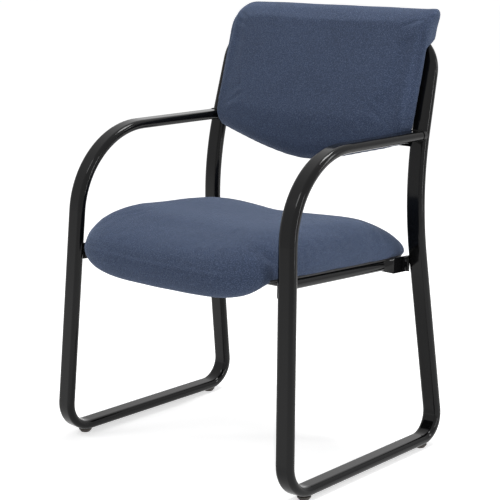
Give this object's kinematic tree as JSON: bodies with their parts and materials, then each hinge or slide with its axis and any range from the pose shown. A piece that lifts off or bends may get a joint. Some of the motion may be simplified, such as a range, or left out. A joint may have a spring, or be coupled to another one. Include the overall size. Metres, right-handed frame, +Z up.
{
  "type": "sled base visitor chair",
  "caption": "Armchair for visitors on a sled base of bent black flat-oval tube, with a padded blue fabric seat and backrest.",
  "frame": {"origin": "on the floor under the middle of the chair's overall box", "axes": "+Z up, -Y the way the sitter faces, +X to the sitter's left"},
  "size_m": [0.6064, 0.5459, 0.8459],
  "materials": {
    "frame_black": "satin",
    "glide_plastic": "matte",
    "fabric_blue": "matte",
    "foam_grey": "matte",
    "plywood": "matte",
    "panel_black": "matte",
    "black_steel": "satin",
    "zinc_steel": "satin"
  },
  "bodies": {
    "root": {"arm_weld_left": "frame_black", "arm_weld_right": "frame_black", "back_bar_bolts": "black_steel", "back_bar_spacers": "zinc_steel", "back_bar_washers": "black_steel", "back_board": "plywood", "back_cover": "fabric_blue", "back_cross_bar": "frame_black", "back_foam": "foam_grey", "back_hoop": "frame_black", "back_hoop_bolts": "black_steel", "back_hoop_spacers": "zinc_steel", "back_rear_panel": "panel_black", "back_tee_nuts": "zinc_steel", "glide_front_left": "glide_plastic", "glide_front_right": "glide_plastic", "glide_pins": "zinc_steel", "glide_rear_left": "glide_plastic", "glide_rear_right": "glide_plastic", "hoop_sleeves": "zinc_steel", "leg_tab_front_left": "frame_black", "leg_tab_front_right": "frame_black", "leg_tab_rear_left": "frame_black", "leg_tab_rear_right": "frame_black", "seat_board": "plywood", "seat_bolts": "zinc_steel", "seat_bottom_panel": "panel_black", "seat_cover": "fabric_blue", "seat_cross_tube_front": "frame_black", "seat_cross_tube_rear": "frame_black", "seat_foam": "foam_grey", "seat_rail_left": "frame_black", "seat_rail_right": "frame_black", "seat_tee_nuts": "zinc_steel", "seat_washers": "zinc_steel", "side_frame_left": "frame_black", "side_frame_right": "frame_black", "tab_nuts": "black_steel", "tab_screws": "black_steel"}
  },
  "joints": []
}
